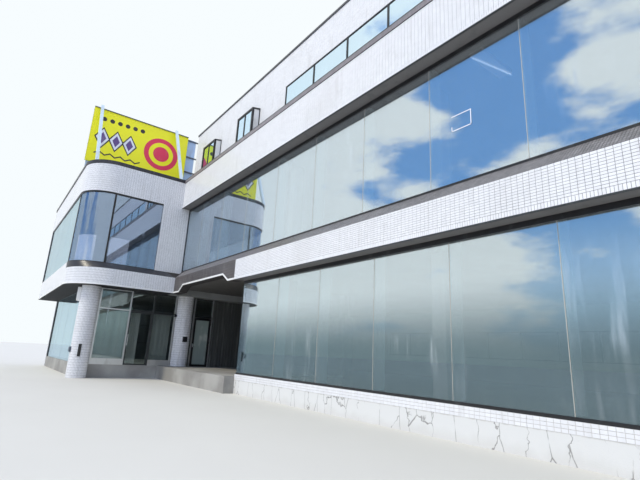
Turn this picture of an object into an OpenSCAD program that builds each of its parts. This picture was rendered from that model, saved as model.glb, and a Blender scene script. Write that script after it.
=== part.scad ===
// Supermarket building: a three-storey main block with banded glass fronts,
// and a two-storey wing with a rounded corner and a sign on its roof.
// Millimetres, +Z up. The front faces -Y and the wing stands at the -X end.
// The origin is the middle of the outline, at the lowest ground level.

/* [Plan] */
// Length of the whole front, wing included
total_l = 31220; // [30000:10:33000]
// Depth from the trim on the wing's front to the back wall
total_d = 15785; // [14500:5:17500]
// Width of the wing
wing_w = 10500; // [9500:10:11500]
// How far the wing's front stands in front of the main block's band
wing_out = 4100; // [3900:5:4600]
// How far the white bands stand out from the glass, on the main block and the wing's side
band_out = 355; // [250:5:450]
// Radius of the wing's rounded corner, at its wall
corner_r = 1200; // [900:10:1400]
// Depth of the covered entrance, behind the main block's glass line
recess_d = 4400; // [3600:10:5000]
// Distance from the wing's side wall to the left end of the shop glass
recess_w = 6280; // [5800:10:6600]

/* [Levels] */
// Height of the doors' threshold above the lowest ground
floor_z = 530; // [400:5:560]
// Height of the plinth under the shop glass
plinth_h = 600; // [570:5:700]
// Underside of the lower white band
band_z = 3650; // [3500:5:3800]
// Height of a white band on the lower storeys
band_h = 690; // [600:5:750]
// Rise of the sloped sill above the lower band
sill_h = 330; // [200:5:400]
// Rise of the sill round the wing above its band
wing_sill_h = 260; // [200:5:330]
// Height from one storey to the next
storey_h = 4040; // [3900:5:4200]
// Height of the upper white band
parapet_h = 1260; // [1100:5:1400]
// Height of the coping on the upper band
coping_h = 160; // [100:5:200]
// Top of the third-floor wall above the lowest ground
wall_top = 11540; // [11300:10:12000]

/* [Walls and glass] */
// Thickness of the tiled walls
wall_t = 200; // [150:5:240]
// Thickness of the end wall that closes the row of glass
end_wall_t = 330; // [250:5:400]
// Thickness of a glass pane
glass_t = 20; // [12:1:30]
// Joint between two frameless panes
joint_w = 12; // [8:1:20]
// Width of a shop pane with its joint
shop_pane_w = 2030; // [1950:5:2100]
// Width of an upper pane with its joint
upper_pane_w = 2080; // [2000:5:2150]
// Depth of the glass fins behind the joints
fin_d = 330; // [200:5:400]
// Height of the dark frame along the foot of the glass
foot_h = 55; // [40:1:80]
// Height of the dark frame along the head of the glass
head_h = 110; // [60:5:140]

/* [Entrance] */
// Rise of the spandrel's underside over the covered entrance
arch_rise = 255; // [150:5:300]
// Height of the white trim along the lower edge
trim_h = 60; // [40:1:90]
// How far the trim stands out
trim_out = 25; // [15:1:40]
// Radius of the tiled columns
column_r = 360; // [300:5:400]
// Width of the shop door's leaf
shop_door_w = 930; // [850:5:940]
// Height of the shop door's leaf
shop_door_h = 2230; // [2050:5:2235]
// Width of the side door's leaf
side_door_w = 830; // [780:5:860]
// Height of the side door's leaf
side_door_h = 2200; // [2050:5:2235]

/* [Third floor] */
// Height of the ribbon window
ribbon_h = 1130; // [900:5:1200]
// Width of one light of the ribbon window
ribbon_pane_w = 1620; // [1500:5:1700]
// Width of a bay window
bay_w = 1220; // [1000:5:1300]
// How far a bay window stands out
bay_out = 330; // [250:5:345]
// Height of a bay window at its front
bay_h = 1080; // [900:5:1200]
// Rise of a bay window's top from its front to the wall
bay_rise = 70; // [30:5:120]

/* [Roof sign] */
// Width of the sign board
sign_w = 4640; // [4000:10:4800]
// Height of the sign board
sign_h = 2750; // [2400:10:3000]
// Distance from the wing's side wall back to the board
sign_back = 2100; // [1800:10:2600]

/* [Hidden] */
$fn = 96;
x0 = -total_l / 2;
x1 = total_l / 2;
x_wing = x0 + wing_w;
x_shop = x_wing + recess_w;
x_front_line = x_wing - 600;
x_glass_end = x1 - end_wall_t;
y0 = -total_d / 2;
y1 = total_d / 2;
y_wing = y0 + trim_out;
y_band = y_wing + wing_out;
y_glass = y_band + band_out;
y_shop_line = y_wing + 990;
y_recess = y_glass + recess_d;
x_arc = x_wing - corner_r;
y_arc = y_wing + corner_r;
band_r = corner_r + band_out;
frame_r = corner_r - 20;
band_top = band_z + band_h;
sill_top = band_top + sill_h;
wing_sill_top = band_top + wing_sill_h;
wing_foot_z = wing_sill_top + 30;
upper_z = band_z + storey_h;
upper_top = upper_z + parapet_h;
coping_top = upper_top + coping_h;
third_floor_z = band_top + storey_h;
ribbon_z = coping_top + 60;
roof_top = wall_top - 140;
roof_zone = 450;
arch_x = [1010, 1420, 5320, 5760];
jamb_w = 40;
wing_roof_z = upper_top - 350;
recess_ceiling_z = band_z + arch_rise + 15;
frame_d = 60;
slab_r = corner_r - wall_t + 20;
y_side_pane = y_arc + 2040;
shop_first_w = 2220;
upper_first_w = 1710;
ribbon_x0 = x_wing + 8060;
ribbon_panes = 7;
ribbon_w = ribbon_panes * ribbon_pane_w;
bay_x = [x_wing + 1710, x_wing + 5080];
bay_edge = 60;
post_w = 60;
shop_posts = [y_arc + 180, y_arc + 1420, y_arc + 2420, y_arc + 3400];
leaf_t = 45;
leaf_gap = 6;
side_post_y = y_arc + 4320;
side_door_y = side_post_y + post_w + leaf_gap;
side_post_end = side_door_y + side_door_w + leaf_gap;
transom_z = 2780;
leaf_lift = 8;
hinge_out = 14;
hinge_in = 2;
column_x = x_wing - 550;
column_y = [y_wing + 990, y_glass + 590];
kick_h = 240;
front_panes = 4;
front_from = x0 + wall_t + post_w;
front_pane_w = (x_arc - post_w - front_from + joint_w) / front_panes;
shop_light_w = 2275;
x_shop_post = front_from + front_panes * shop_light_w - joint_w;
return_panes = 4;
return_pane_w = (recess_d - frame_d) / return_panes;
rear_sill = 1000;
rear_w = 1500;
grout = 2;
column_pitch = 6130;
sign_x = x_wing - sign_back;
sign_y = y0;
sign_z = coping_top + 500;
sign_t = 80;
sheet_t = 20;
rail_t = 60;
post_t = 80;

// A block between two opposite corners
module block(from, to) {
    translate(from) cube(to - from);
}

// Carries a profile along the wing's front, round a corner of radius r and back along the side.
// The profile's first axis is the distance from the corner's centre, its second the height.
module around_wing(x_from, y_to, r = corner_r) {
    y_centre = y_wing + r;
    translate([x_arc, y_centre, 0]) {
        rotate([90, 0, -90]) linear_extrude(x_arc - x_from) children();
        rotate([0, 0, -90]) rotate_extrude(angle = 90) children();
    }
    translate([x_arc, y_to, 0]) rotate([90, 0, 0]) linear_extrude(y_to - y_centre) children();
}

// The plan of the wing's corner, from the start of its round part back along the side
module corner_plan(r, y_to) {
    translate([x_arc, y_wing + r]) {
        intersection() {
            circle(r);
            translate([0, -r]) square(r);
        }
        square([r, y_to - y_wing - r]);
    }
}

// A rectangle in the profile of around_wing, from one distance outside the wall to another
module run_strip(out0, out1, z0, z1) {
    translate([corner_r + out0, z0]) square([out1 - out0, z1 - z0]);
}

// The outline of a floor of the wing, inside its walls
module wing_outline(left, right, front, back, r) {
    hull() {
        translate([right - r, front + r]) circle(r);
        translate([left, front]) square([10, back - front]);
        translate([right - 10, front + r]) square([10, back - front - r]);
    }
}

// Frames of a row of windows in a wall that runs along X: one ring with bars
module row_frame(count, pane_w, h) {
    w = count * pane_w;
    difference() {
        cube([w, frame_d, h]);
        for (i = [0 : count - 1])
            translate([i * pane_w + 25, -1, 25]) cube([pane_w - 50, frame_d + 2, h - 50]);
    }
}

// Panes of such a row
module row_panes(count, pane_w, h) {
    for (i = [0 : count - 1])
        translate([i * pane_w + 25, frame_d / 2 - glass_t / 2, 25])
            cube([pane_w - 50, glass_t, h - 50]);
}

// Floors
module ground_floor() {
    color("silver") {
        block([x_shop + wall_t, y_glass + wall_t, 0], [x_glass_end, y1 - wall_t, floor_z]);
        block([x_front_line, y_recess, 0], [x_shop + wall_t, y1 - wall_t, floor_z]);
    }
}

module entrance_floor() {
    color("lightgray")
        block([x_front_line, y_band, 0], [x_shop - 60, y_recess, floor_z]);
}

module wing_floor() {
    color("silver")
        difference() {
            block([x0 + wall_t, y_shop_line - 60, 0], [x_front_line, y1 - wall_t, floor_z]);
            translate([column_x, column_y[0], -1])
                cylinder(h = floor_z + 2, r = column_r + grout);
        }
}

module main_plinth() {
    color("ivory") {
        block([x_shop - 60, y_glass, 0], [x_glass_end, y_glass + wall_t, plinth_h]);
        block([x_shop - 60, y_glass + wall_t, 0], [x_shop + wall_t, y_recess, plinth_h]);
    }
}

module second_floor() {
    color("gainsboro") {
        block([x_shop + wall_t, y_glass, band_z], [x_glass_end, y1 - wall_t, band_top]);
        block([x_wing, y_recess + wall_t, band_z], [x_shop + wall_t, y1 - wall_t, band_top]);
    }
}

module entrance_ceiling() {
    color("dimgray") {
        block([x_wing, y_glass, recess_ceiling_z], [x_shop + wall_t, y_recess + wall_t, band_top]);
        block([x_shop, y_glass, band_z], [x_shop + wall_t, y_recess, band_top]);
    }
}

module wing_second_floor() {
    color("gainsboro") {
        translate([0, 0, band_z]) linear_extrude(band_h)
            wing_outline(x0 + wall_t, x_wing - wall_t, y_wing + wall_t, y1 - wall_t, slab_r);
        block([x_wing - wall_t - 10, y_band, band_z], [x_wing, y1 - wall_t, band_top]);
    }
}

module third_floor() {
    color("gainsboro")
        block([x_wing, y_glass, upper_z], [x_glass_end, y1 - wall_t, third_floor_z]);
}

module roof_slabs() {
    color("darkgray") {
        block([x_wing + wall_t, y_glass + wall_t, roof_top - roof_zone],
            [x_glass_end, y1 - wall_t, roof_top]);
        translate([0, 0, upper_z]) linear_extrude(wing_roof_z - upper_z)
            wing_outline(x0 + wall_t, x_wing - wall_t, y_wing + wall_t, y1 - wall_t, slab_r);
        block([x_wing - wall_t - 10, y_glass, upper_z], [x_wing, y1 - wall_t, wing_roof_z]);
    }
}

// Bands and copings
module roof_coping() {
    lip = 30;
    color("dimgray")
        difference() {
            block([x_wing - lip, y_glass - lip, wall_top], [x1, y1, wall_top + 80]);
            block([x_wing + wall_t + lip, y_glass + wall_t + lip, wall_top - 1],
                [x_glass_end - lip, y1 - wall_t - lip, wall_top + 81]);
        }
}

module lower_band() {
    color("white") block([x_shop - 60, y_band, band_z], [x1, y_glass, band_top]);
}

// The lower edge of the beam over the entrance, from the wing to the shop, raised by lift
function underside(from, lift) = [
    [from, band_z + lift],
    [x_wing + arch_x[0], band_z + lift],
    [x_wing + arch_x[1], band_z + arch_rise + lift],
    [x_wing + arch_x[2], band_z + arch_rise + lift],
    [x_wing + arch_x[3], band_z + lift],
    [x_shop - 60, band_z + lift]];

function reversed(list) = [for (i = [len(list) - 1 : -1 : 0]) list[i]];

// The brown-tiled beam over the entrance, with a raised and chamfered underside
module entrance_spandrel() {
    color("rosybrown")
        translate([0, y_glass, 0]) rotate([90, 0, 0]) linear_extrude(band_out)
            polygon(concat(underside(x_wing, 0), [[x_shop - 60, band_top], [x_wing, band_top]]));
}

// The trim along that edge and along the lower edge of the wing's band
module band_trim() {
    from = x_wing + band_out;
    color("snow") {
        translate([0, y_band, 0]) rotate([90, 0, 0]) linear_extrude(trim_out)
            polygon(concat(underside(from, 0), reversed(underside(from, trim_h))));
        around_wing(x0, y_band - trim_out, band_r)
            run_strip(band_out, band_out + trim_out, band_z, band_z + trim_h);
    }
}

// The tiled sill that slopes from the band up to the foot of the glass.
// Round the wing's corner it turns from upright at the front to a slope along the side.
module sloped_sill() {
    color("rosybrown") {
        translate([x_wing, y_glass, 0]) rotate([90, 0, 90]) linear_extrude(x1 - x_wing)
            polygon([[-band_out, band_top], [0, band_top], [0, sill_top]]);
        difference() {
            hull() {
                translate([0, 0, band_top]) linear_extrude(1) corner_plan(band_r, y_glass);
                translate([0, 0, wing_sill_top - 1]) linear_extrude(1)
                    corner_plan(corner_r, y_glass);
            }
            translate([0, 0, band_top - 1]) linear_extrude(wing_sill_h + 2) {
                translate([x_arc, y_arc]) circle(frame_r);
                translate([x_arc - 1, y_arc]) square([frame_r + 1, y_side_pane - y_arc]);
                translate([x_arc - 1, y_side_pane])
                    square([corner_r + 1, y_glass - y_side_pane + 1]);
            }
        }
    }
}

module upper_band() {
    color("white") block([x_wing, y_band, upper_z], [x1, y_glass, upper_top]);
}

module coping() {
    lip = 20;
    color("rosybrown") {
        block([x_wing + lip, y_band - lip, upper_top], [x1, y_glass, coping_top]);
        around_wing(x0, y_glass) run_strip(-wall_t, lip, upper_top, coping_top);
        block([x0, y_wing, upper_top], [x0 + wall_t, y1, coping_top]);
        block([x0, y1 - wall_t, upper_top], [x_wing, y1, coping_top]);
    }
}

// The wing's band is flush with its front wall and stands out along its side
module wing_band() {
    color("white") {
        translate([0, 0, band_z]) linear_extrude(band_h)
            difference() {
                union() {
                    translate([x0 + wall_t, y_wing]) square([x_arc - x0 - wall_t, wall_t]);
                    corner_plan(band_r, y_band);
                }
                wing_outline(x0, x_wing - wall_t, y_wing + wall_t, y_glass, corner_r - wall_t);
            }
        block([x0 + wall_t, y_wing, band_top - 1], [x_arc, y_wing + wall_t, wing_sill_top]);
    }
}

module wing_upper_wall() {
    color("white") around_wing(x0, y_glass) run_strip(-wall_t, 0, upper_z, upper_top);
}

module wing_side_wall() {
    color("white")
        block([x_wing - wall_t, y_side_pane, band_top], [x_wing, y_glass, upper_z]);
}

// Frameless glass of the main block
module pane_row(x_from, first_w, pane_w, z0, z1) {
    count = 1 + ceil((x_glass_end - x_from - first_w) / pane_w);
    for (i = [0 : count - 1]) {
        a = x_from + (i == 0 ? 0 : first_w + (i - 1) * pane_w + joint_w / 2);
        b = min(x_from + first_w + i * pane_w - joint_w / 2, x_glass_end);
        block([a, y_glass + 20, z0], [b, y_glass + 20 + glass_t, z1]);
    }
}

module ground_glass() {
    color("lightblue", 0.4) {
        pane_row(x_shop, shop_first_w, shop_pane_w, plinth_h + foot_h, band_z - head_h);
        for (i = [0 : return_panes - 1]) {
            y = y_glass + frame_d + i * return_pane_w;
            block([x_shop, y, plinth_h], [x_shop + glass_t, y + return_pane_w - joint_w, band_z]);
        }
    }
}

module upper_glass() {
    color("lightblue", 0.4)
        pane_row(x_wing + jamb_w, upper_first_w - jamb_w, upper_pane_w, sill_top + foot_h,
            upper_z - head_h);
}

module fin_row(x_from, pane_w, z0, z1) {
    for (x = [x_from : pane_w : x_glass_end - 200])
        block([x - 10, y_glass + 20 + glass_t, z0], [x + 10, y_glass + 20 + glass_t + fin_d, z1]);
}

module glass_fins() {
    color("lightcyan", 0.5) {
        fin_row(x_shop + shop_first_w, shop_pane_w, plinth_h + foot_h, band_z);
        fin_row(x_wing + upper_first_w, upper_pane_w, sill_top + foot_h, upper_z);
    }
}

module glass_frames() {
    color("black") {
        block([x_shop, y_glass, plinth_h], [x_glass_end, y_glass + frame_d, plinth_h + foot_h]);
        block([x_shop, y_glass, band_z - head_h], [x_glass_end, y_glass + 20 + glass_t, band_z]);
        block([x_wing, y_glass, band_top], [x_glass_end, y_glass + frame_d, sill_top + foot_h]);
        block([x_wing, y_glass, upper_z - head_h], [x_glass_end, y_glass + 20 + glass_t, upper_z]);
        block([x_wing, y_glass, sill_top + foot_h + grout],
            [x_wing + jamb_w, y_glass + frame_d, upper_z - head_h - grout]);
    }
}

// Third floor
module third_front_wall() {
    color("white")
        difference() {
            block([x_wing, y_glass, third_floor_z], [x_glass_end, y_glass + wall_t, wall_top]);
            block([ribbon_x0, y_glass - 1, ribbon_z],
                [ribbon_x0 + ribbon_w, y_glass + wall_t + 1, ribbon_z + ribbon_h]);
            for (x = bay_x)
                block([x + bay_edge, y_glass - 1, coping_top + bay_edge],
                    [x + bay_w - bay_edge, y_glass + wall_t + 1, coping_top + bay_h - bay_edge]);
        }
}

// The height of a bay window's sloped top, at a distance out from the wall
function bay_top(out) = bay_h + bay_rise * (1 - out / bay_out);

// The side opening of a bay window, seen from the end
module bay_side() {
    near = 30;
    far = bay_out - 80;
    polygon([[-far, bay_edge], [-near, bay_edge], [-near, bay_top(near) - bay_edge],
        [-far, bay_top(far) - bay_edge]]);
}

// Carries such a shape along a bay window, from x onwards
module along_bay(x, w) {
    translate([x, y_glass, coping_top]) rotate([90, 0, 90]) linear_extrude(w) children();
}

// The frames of the two bay windows, which stand on the coping
module bay_windows() {
    color("black")
        for (x = bay_x)
            difference() {
                along_bay(x, bay_w)
                    polygon([[-bay_out, 0], [0, 0], [0, bay_top(0)], [-bay_out, bay_h]]);
                block([x + bay_edge, y_glass - bay_out - 1, coping_top + bay_edge],
                    [x + bay_w - bay_edge, y_glass + 1, coping_top + bay_h - bay_edge]);
                along_bay(x - 1, bay_w + 2) bay_side();
            }
}

module bay_place() {
    for (x = bay_x)
        translate([x + bay_edge, y_glass - bay_out + 10, coping_top + bay_edge]) children();
}

module rear_place() {
    for (z = [floor_z, band_top, third_floor_z])
        translate([x_wing + 2400, y1 - 130, z + rear_sill]) children();
}

module wing_rear_place() {
    for (z = [floor_z, band_top])
        translate([x0 + 1500, y1 - 130, z + rear_sill]) children();
}

module end_place() {
    for (z = [band_top, third_floor_z])
        translate([x1 - 130, y_glass + 2100, z + rear_sill]) rotate([0, 0, 90]) children();
}

module left_place() {
    for (z = [floor_z, band_top])
        translate([x0 + 130, y_wing + 3500, z + rear_sill]) rotate([0, 0, 90]) children();
}

module ribbon_frames() {
    color("black") {
        translate([ribbon_x0, y_glass + 5, ribbon_z])
            row_frame(ribbon_panes, ribbon_pane_w, ribbon_h);
        bay_place() row_frame(2, bay_w / 2 - bay_edge, bay_h - 2 * bay_edge);
        rear_place() row_frame(10, rear_w, ribbon_h);
        wing_rear_place() row_frame(5, rear_w, ribbon_h);
        end_place() row_frame(5, rear_w, ribbon_h);
        left_place() row_frame(6, rear_w, ribbon_h);
    }
}

module ribbon_glass() {
    color("steelblue", 0.5) {
        translate([ribbon_x0, y_glass + 5, ribbon_z])
            row_panes(ribbon_panes, ribbon_pane_w, ribbon_h);
        bay_place() row_panes(2, bay_w / 2 - bay_edge, bay_h - 2 * bay_edge);
        for (x = bay_x)
            for (step = [20, bay_w - 40])
                along_bay(x + step, glass_t) bay_side();
        rear_place() row_panes(10, rear_w, ribbon_h);
        wing_rear_place() row_panes(5, rear_w, ribbon_h);
        end_place() row_panes(5, rear_w, ribbon_h);
        left_place() row_panes(6, rear_w, ribbon_h);
    }
}

// Wing
module wing_window_frames() {
    rail = 70;
    front_y = y_wing + 20;
    head = [upper_z - rail, upper_z];
    post_z = [wing_foot_z + grout, upper_z - rail - grout];
    color("black") {
        for (z = [[wing_sill_top, wing_foot_z], head])
            block([x0 + wall_t, front_y, z[0]], [x_arc - grout, front_y + frame_d, z[1]]);
        for (z = [[band_top, wing_foot_z], head]) {
            translate([x_arc, y_arc, z[0]]) rotate([0, 0, -90])
                rotate_extrude(angle = 90)
                    translate([frame_r - frame_d, 0]) square([frame_d, z[1] - z[0]]);
            block([x_wing - 80, y_arc + grout, z[0]], [x_wing - 20, y_side_pane, z[1]]);
        }
        for (x = [x0 + wall_t, x_arc - post_w])
            block([x, front_y, post_z[0]], [x + post_w, front_y + frame_d, post_z[1]]);
        block([x_wing - 80, y_arc - post_w / 2, post_z[0]],
            [x_wing - 20, y_arc + post_w / 2, post_z[1]]);
        for (x = [x0 + wall_t, x_shop_post])
            block([x, y_shop_line - 30, floor_z], [x + post_w, y_shop_line + 30, band_z]);
    }
}

module wing_glass() {
    z1 = upper_z - 70;
    front_y = y_wing + 40;
    color("lightblue", 0.4) {
        for (i = [0 : front_panes - 1]) {
            upper_x = front_from + i * front_pane_w;
            shop_x = front_from + i * shop_light_w;
            block([upper_x, front_y, wing_foot_z],
                [upper_x + front_pane_w - joint_w, front_y + glass_t, z1]);
            block([shop_x, y_shop_line - 10, floor_z],
                [shop_x + shop_light_w - joint_w, y_shop_line + 10, band_z]);
        }
        translate([x_arc, y_arc, wing_foot_z + grout]) rotate([0, 0, -88])
            rotate_extrude(angle = 86)
                translate([corner_r - 60, 0]) square([glass_t, z1 - wing_foot_z - 2 * grout]);
        block([x_wing - 60, y_arc + 40, wing_foot_z], [x_wing - 40, y_side_pane, z1]);
    }
}

module tiled_columns() {
    color("white") {
        translate([column_x, column_y[0], 0]) cylinder(h = band_z, r = column_r);
        translate([column_x, column_y[1], floor_z]) cylinder(h = band_z - floor_z, r = column_r);
    }
}

module shopfront_frames() {
    x_out = x_front_line;
    x_in = x_out - frame_d;
    color("silver") {
        for (y = shop_posts)
            block([x_in, y, floor_z], [x_out, y + post_w, band_z]);
        for (y = [side_post_y, side_post_end])
            block([x_in, y, floor_z], [x_out, y + post_w, band_z]);
        for (i = [0 : 2])
            for (z = [transom_z, band_z - 50])
                block([x_in, shop_posts[i] + post_w + grout, z],
                    [x_out, shop_posts[i + 1] - grout, z + 50]);
        for (z = [transom_z, band_z - 50])
            block([x_in, side_post_y + post_w + grout, z], [x_out, side_post_end - grout, z + 50]);
        for (i = [0, 2])
            block([x_in, shop_posts[i] + post_w + grout, floor_z],
                [x_out, shop_posts[i + 1] - grout, floor_z + kick_h]);
    }
}

module shopfront_glass() {
    x_out = x_front_line - 20;
    color("lightblue", 0.4) {
        for (i = [0, 2])
            block([x_out - glass_t, shop_posts[i] + post_w, floor_z + kick_h],
                [x_out, shop_posts[i + 1], transom_z]);
        for (i = [0 : 2])
            block([x_out - glass_t, shop_posts[i] + post_w, transom_z + 50],
                [x_out, shop_posts[i + 1], band_z - 50]);
        block([x_out - glass_t, side_post_y + post_w, transom_z + 50],
            [x_out, side_post_end, band_z - 50]);
    }
}

// A door leaf: a frame of stiles and rails round a pane, hung at its +Y edge
module leaf(w, h, stile) {
    difference() {
        cube([leaf_t, w, h]);
        translate([-1, stile, stile]) cube([leaf_t / 2 - 7, w - 2 * stile, h - 2 * stile]);
        translate([leaf_t / 2 + 8, stile, stile])
            cube([leaf_t / 2, w - 2 * stile, h - 2 * stile]);
    }
}

// Hinge knuckles on the leaf's outer face, round the axis that it turns on
module knuckles(w, h) {
    knuckle_h = 100;
    plate = [4, 40, knuckle_h];
    for (z = [200, (h - knuckle_h) / 2, h - 200 - knuckle_h])
        translate([leaf_t, w - hinge_in, z]) {
            translate([hinge_out, 0, 0]) cylinder(h = knuckle_h, r = 8, $fn = 24);
            translate([-1, -plate[1], 0]) cube(plate);
            translate([-1, -8, 0]) cube([hinge_out + 1, 8, knuckle_h]);
        }
}

module shop_door() {
    y = shop_posts[2] - leaf_gap - shop_door_w;
    pull_h = 450;
    color("gainsboro")
        translate([x_front_line - leaf_t, y, floor_z + leaf_lift]) {
            leaf(shop_door_w, shop_door_h, 45);
            knuckles(shop_door_w, shop_door_h);
            for (z = [0, pull_h - 25])
                translate([leaf_t, 10, 800 + z]) cube([60, 25, 25]);
            translate([leaf_t + 60, 10, 800]) cube([20, 25, pull_h]);
        }
}

module side_door() {
    color("black")
        translate([x_front_line - leaf_t, side_door_y, floor_z + leaf_lift]) {
            leaf(side_door_w, side_door_h, 95);
            knuckles(side_door_w, side_door_h);
            translate([leaf_t, 30, 950]) cube([45, 30, 25]);
            translate([leaf_t + 45, 30, 950]) cube([20, 130, 25]);
        }
}

// Walls of the covered entrance, with upright ribs
module recess_wall() {
    rib = 45;
    pitch = 150;
    start = side_post_end + post_w;
    color("saddlebrown") {
        block([x_front_line - wall_t, start, floor_z], [x_front_line, y1 - wall_t, band_z]);
        for (y = [start + 60 : pitch : y_recess - 60])
            block([x_front_line - 1, y, floor_z], [x_front_line + 30, y + rib, band_z]);
    }
}

module recess_back_wall() {
    color("saddlebrown") {
        block([x_front_line, y_recess, floor_z], [x_shop + wall_t, y_recess + wall_t, band_z]);
        block([x_wing, y_recess, band_z - 1],
            [x_shop + wall_t, y_recess + wall_t, recess_ceiling_z]);
    }
}

// Outer walls at the back and the ends
module main_back_wall() {
    color("white")
        difference() {
            block([x_wing, y1 - wall_t, 0], [x_glass_end, y1, wall_top]);
            rear_place() translate([0, -wall_t, 0]) cube([10 * rear_w, 3 * wall_t, ribbon_h]);
        }
}

module main_end_wall() {
    color("white")
        difference() {
            block([x_glass_end, y_glass, 0], [x1, y1, wall_top]);
            end_place() translate([0, -wall_t, 0]) cube([5 * rear_w, 3 * wall_t, ribbon_h]);
        }
}

module left_end_wall() {
    color("white")
        block([x_wing, y_glass + wall_t, third_floor_z], [x_wing + wall_t, y1 - wall_t, wall_top]);
}

module wing_back_wall() {
    color("white")
        difference() {
            block([x0, y1 - wall_t, 0], [x_wing, y1, upper_top]);
            wing_rear_place() translate([0, -wall_t, 0]) cube([5 * rear_w, 3 * wall_t, ribbon_h]);
        }
}

module wing_left_wall() {
    color("white")
        difference() {
            union() {
                block([x0, y_wing + wall_t, upper_z], [x0 + wall_t, y1 - wall_t, upper_top]);
                block([x0, y_wing, band_z], [x0 + wall_t, y1 - wall_t, upper_z]);
                block([x0, y_shop_line - 60, 0], [x0 + wall_t, y1 - wall_t, band_z]);
            }
            left_place() translate([0, -wall_t, 0]) cube([6 * rear_w, 3 * wall_t, ribbon_h]);
        }
}

module interior_columns() {
    s = 350;
    y = y_glass + 860;
    color("ivory")
        for (i = [0 : 2])
            for (z = [[floor_z, band_z], [band_top, upper_z]])
                if (i < 2 || z[0] > floor_z)
                    translate([x_shop + 7220 - i * column_pitch, 0, 0])
                        block([0, y, z[0]], [s, y + s, z[1]]);
}

// Roof sign
module sign_board() {
    color("gold")
        block([sign_x - sign_t, sign_y, sign_z], [sign_x, sign_y + sign_w, sign_z + sign_h]);
}

// The sheet behind the board, which runs on past the board's inner edge
module sign_backing() {
    x = sign_x - sign_t - rail_t - 2 * grout;
    color("lightsteelblue")
        block([x - sheet_t, sign_y + 60, coping_top + 60],
            [x, sign_y + sign_w + 500, sign_z + sign_h]);
}

// A leaning brace in front of the board, from its foot on the coping
module brace(foot_x, y) {
    w = 110;
    depth = 130;
    head_x = sign_x + 115;
    tip_z = sign_z + sign_h + 130;
    translate([0, y + depth / 2, 0]) rotate([90, 0, 0]) linear_extrude(depth)
        polygon([[foot_x - w / 2, coping_top], [foot_x + w / 2, coping_top],
            [head_x + w / 2, tip_z], [head_x - w / 2, tip_z]]);
}

module sign_frame() {
    top = sign_z + sign_h;
    x_rail = sign_x - sign_t - grout;
    x_post = x_rail - rail_t - sheet_t - 3 * grout;
    post_steps = [0.08, 0.5, 0.92];
    rail_z = [sign_z + 820, sign_z + 1680, top - 110];
    color("slategray") {
        for (f = post_steps)
            block([x_post - post_t, sign_y + f * sign_w - 40, wing_roof_z],
                [x_post, sign_y + f * sign_w + 40, top]);
        for (z = rail_z)
            block([x_rail - rail_t, sign_y, z], [x_rail, sign_y + sign_w + 600, z + 60]);
        block([sign_x - sign_t, sign_y, top + grout], [sign_x + 50, sign_y + sign_w, top + 35]);
        brace(x_wing - 490, y_wing + 270);
        brace(x_wing - 100, y_wing + 3910);
    }
}

ground_floor();
entrance_floor();
wing_floor();
main_plinth();
second_floor();
entrance_ceiling();
wing_second_floor();
third_floor();
roof_slabs();
roof_coping();
lower_band();
entrance_spandrel();
band_trim();
sloped_sill();
upper_band();
coping();
wing_band();
wing_upper_wall();
wing_side_wall();
ground_glass();
upper_glass();
glass_fins();
glass_frames();
third_front_wall();
bay_windows();
ribbon_frames();
ribbon_glass();
wing_window_frames();
wing_glass();
tiled_columns();
shopfront_frames();
shopfront_glass();
shop_door();
side_door();
recess_wall();
recess_back_wall();
main_back_wall();
main_end_wall();
left_end_wall();
wing_back_wall();
wing_left_wall();
interior_columns();
sign_board();
sign_backing();
sign_frame();
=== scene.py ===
"""Looks of the supermarket building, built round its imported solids.

Metres, +Z up, in the same frame as the solids. The front faces -Y.
"""

import math
import random

import bpy
import numpy as np
from mathutils import Matrix, Vector


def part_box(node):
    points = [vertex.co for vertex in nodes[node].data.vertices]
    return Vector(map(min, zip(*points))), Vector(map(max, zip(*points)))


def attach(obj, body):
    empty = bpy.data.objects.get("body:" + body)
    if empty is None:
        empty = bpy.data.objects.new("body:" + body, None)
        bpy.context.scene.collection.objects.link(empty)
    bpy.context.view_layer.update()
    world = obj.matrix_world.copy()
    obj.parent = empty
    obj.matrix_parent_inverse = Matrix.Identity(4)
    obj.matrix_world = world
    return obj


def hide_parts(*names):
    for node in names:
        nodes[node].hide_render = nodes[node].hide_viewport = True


BODY = "building"
CORNER_R = 1.2
BAND_OUT = 0.355
FLOOR_Z = 0.53
PLINTH_TILES = 0.18
JOINT = 0.005
TILE_LIFT = 0.005
TILE_EDGE = 0.002
LEAST_PART = 2.5 * JOINT
WING_SILL_H = 0.26
LEFT_PIER_W = 0.2
# Height and width of a tile that lies on its long side or stands on its short side
LYING = (0.05, 0.1)
STANDING = (0.1, 0.05)

random.seed(11)
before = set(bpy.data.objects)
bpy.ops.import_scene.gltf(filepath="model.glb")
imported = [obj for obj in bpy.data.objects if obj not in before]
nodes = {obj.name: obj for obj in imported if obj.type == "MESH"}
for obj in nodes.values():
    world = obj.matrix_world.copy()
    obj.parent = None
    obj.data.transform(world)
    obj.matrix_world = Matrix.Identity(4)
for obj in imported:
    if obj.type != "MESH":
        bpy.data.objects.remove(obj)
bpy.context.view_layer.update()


# Places that the solids give
def low_high(name):
    """A node's lowest and highest corners."""
    low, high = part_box(name)
    return Vector(low), Vector(high)


UPPER = low_high("upper_band")
LOWER = low_high("lower_band")
WING_WALL = low_high("wing_upper_wall")
SILL = low_high("sloped_sill")
COPING = low_high("coping")
THIRD = low_high("third_front_wall")
PLINTH = low_high("main_plinth")

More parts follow.
